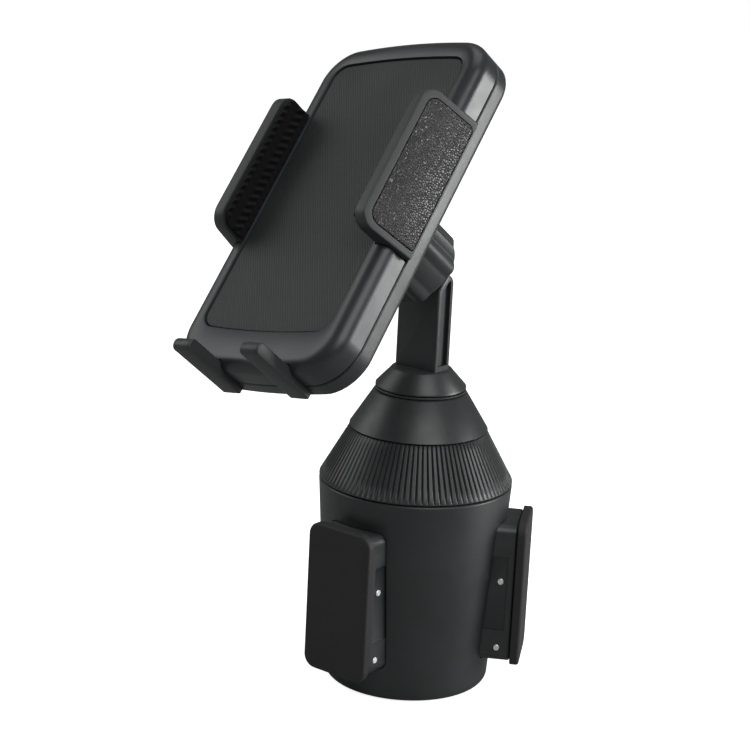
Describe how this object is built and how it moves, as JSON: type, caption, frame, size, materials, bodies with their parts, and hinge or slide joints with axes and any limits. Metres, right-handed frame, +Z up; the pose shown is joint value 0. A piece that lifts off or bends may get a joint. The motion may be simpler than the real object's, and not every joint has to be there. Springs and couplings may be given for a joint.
{
  "type": "car phone mount",
  "caption": "Phone mount that expands to grip a cup holder: screw-driven wings in a tapered base, a turning neck with a ball joint, and a leaning cradle with clamping jaws and pull-out feet.",
  "frame": {"origin": "centre of the base's underside", "axes": "+Z up along the base's axis, -Y towards the phone's face, +X to the right of a person facing the phone"},
  "size_m": [0.0858, 0.1292, 0.2171],
  "materials": {
    "satin_shell": "satin black moulded plastic",
    "matte_shell": "matt black moulded plastic",
    "gloss_border": "smooth half-gloss black plastic",
    "soft_rubber": "soft black rubber",
    "leather_rubber": "pebbled dark rubber",
    "grey_nylon": "dark grey nylon",
    "inner_plastic": "charcoal moulded plastic",
    "bright_steel": "bright turned steel"
  },
  "bodies": {
    "base": {"cup_shell": "satin_shell", "foot_pad": "soft_rubber", "base_plate": "inner_plastic", "base_screw_1": "bright_steel", "base_screw_2": "bright_steel", "base_screw_3": "bright_steel", "column_screw": "bright_steel", "centre_column": "inner_plastic", "upper_cone": "satin_shell", "swivel_washer": "grey_nylon"},
    "collar": {"adjuster_collar": "satin_shell", "drive_screw": "inner_plastic"},
    "traveller": {"traveller": "grey_nylon"},
    "wing_1": {"wing_1_housing": "satin_shell", "wing_1_pad": "soft_rubber", "wing_1_slider": "grey_nylon", "wing_1_lower_pin": "bright_steel", "wing_1_upper_pin": "bright_steel", "wing_1_drive_pin": "bright_steel"},
    "wing_2": {"wing_2_housing": "satin_shell", "wing_2_pad": "soft_rubber", "wing_2_slider": "grey_nylon", "wing_2_lower_pin": "bright_steel", "wing_2_upper_pin": "bright_steel", "wing_2_drive_pin": "bright_steel"},
    "wing_3": {"wing_3_housing": "satin_shell", "wing_3_pad": "soft_rubber", "wing_3_slider": "grey_nylon", "wing_3_lower_pin": "bright_steel", "wing_3_upper_pin": "bright_steel", "wing_3_drive_pin": "bright_steel"},
    "arm": {"arm": "satin_shell", "swivel_retainer": "bright_steel", "ball_stud": "satin_shell"},
    "ball_pan": {"liner_rear": "grey_nylon"},
    "ball_tilt": {"liner_front": "grey_nylon"},
    "cradle": {"socket_cup": "grey_nylon", "socket_screw_1": "bright_steel", "socket_screw_2": "bright_steel", "cradle_back_shell": "satin_shell", "cradle_front_shell": "gloss_border", "cradle_pad": "soft_rubber", "shell_screw_1": "bright_steel", "shell_screw_2": "bright_steel", "jaw_spring": "bright_steel"},
    "lock_nut": {"lock_nut": "matte_shell"},
    "jaw_left": {"jaw_left": "matte_shell", "jaw_left_grip": "soft_rubber", "jaw_left_inlay": "leather_rubber"},
    "jaw_right": {"jaw_right": "matte_shell", "jaw_right_grip": "soft_rubber", "jaw_right_inlay": "leather_rubber"},
    "pinion": {"pinion": "grey_nylon"},
    "release_button": {"release_button": "matte_shell"},
    "release_pawl": {"release_pawl": "grey_nylon"},
    "foot_left": {"foot_left": "matte_shell"},
    "foot_right": {"foot_right": "matte_shell"}
  },
  "joints": [
    {"name": "collar_spin", "type": "hinge", "parent": "base", "child": "collar", "pos_m": [0, 0, 0.08], "axis": [0, 0, 1], "range_deg": [-157, 404]},
    {"name": "traveller_slide", "type": "slide", "parent": "base", "child": "traveller", "axis": [0, 0, 1], "range_m": [-0.009, 0.0035]},
    {"name": "wing_1_slide", "type": "slide", "parent": "base", "child": "wing_1", "axis": [0, -1, 0], "range_m": [-0.0035, 0.009]},
    {"name": "wing_2_slide", "type": "slide", "parent": "base", "child": "wing_2", "axis": [0.866, 0.5, 0], "range_m": [-0.0035, 0.009]},
    {"name": "wing_3_slide", "type": "slide", "parent": "base", "child": "wing_3", "axis": [-0.866, 0.5, 0], "range_m": [-0.0035, 0.009]},
    {"name": "neck_swivel", "type": "hinge", "parent": "base", "child": "arm", "pos_m": [0, 0, 0.102], "axis": [0, 0, 1], "continuous": true},
    {"name": "ball_pan", "type": "hinge", "parent": "arm", "child": "ball_pan", "pos_m": [0, -0.01061, 0.14751], "axis": [0, -0.7071, 0.7071], "range_deg": [-60, 60]},
    {"name": "ball_lean", "type": "hinge", "parent": "ball_pan", "child": "ball_tilt", "pos_m": [0, -0.01061, 0.14751], "axis": [1, 0, 0], "range_deg": [-22, 13]},
    {"name": "cradle_spin", "type": "hinge", "parent": "ball_tilt", "child": "cradle", "pos_m": [0, -0.01061, 0.14751], "axis": [-0.1932, -0.7366, 0.6481], "continuous": true},
    {"name": "lock_nut_spin", "type": "hinge", "parent": "cradle", "child": "lock_nut", "pos_m": [0, -0.01061, 0.14751], "axis": [-0.1932, -0.7366, 0.6481], "range_deg": [0, 120]},
    {"name": "jaw_left_slide", "type": "slide", "parent": "cradle", "child": "jaw_left", "axis": [-0.9798, 0.1109, -0.1661], "range_m": [0, 0.016]},
    {"name": "jaw_right_slide", "type": "slide", "parent": "cradle", "child": "jaw_right", "axis": [0.9798, -0.1109, 0.1661], "range_m": [0, 0.016]},
    {"name": "pinion_spin", "type": "hinge", "parent": "cradle", "child": "pinion", "pos_m": [-0.00014, -0.00874, 0.14959], "axis": [-0.1932, -0.7366, 0.6481], "range_deg": [-198, 0]},
    {"name": "release_button_slide", "type": "slide", "parent": "cradle", "child": "release_button", "axis": [0.9798, -0.1109, 0.1661], "range_m": [0, 0.0022], "stiffness_N_per_m": 200, "springref_m": -0.001},
    {"name": "release_pawl_swing", "type": "hinge", "parent": "cradle", "child": "release_pawl", "pos_m": [-0.02083, -0.03312, 0.11571], "axis": [-0.1932, -0.7366, 0.6481], "range_deg": [-15, 0]},
    {"name": "foot_left_slide", "type": "slide", "parent": "cradle", "child": "foot_left", "axis": [0.0505, -0.6672, -0.7432], "range_m": [0, 0.012]},
    {"name": "foot_right_slide", "type": "slide", "parent": "cradle", "child": "foot_right", "axis": [0.0505, -0.6672, -0.7432], "range_m": [0, 0.012]}
  ],
  "couplings": [
    {"joint": "traveller_slide", "follows": "collar_spin", "m_per_rad": -0.0012732},
    {"joint": "wing_1_slide", "follows": "collar_spin", "m_per_rad": 0.0012732},
    {"joint": "wing_2_slide", "follows": "collar_spin", "m_per_rad": 0.0012732},
    {"joint": "wing_3_slide", "follows": "collar_spin", "m_per_rad": 0.0012732},
    {"joint": "jaw_right_slide", "follows": "jaw_left_slide", "ratio": 1},
    {"joint": "pinion_spin", "follows": "jaw_left_slide", "rad_per_m": -215.05},
    {"joint": "release_pawl_swing", "follows": "release_button_slide", "rad_per_m": -111}
  ]
}
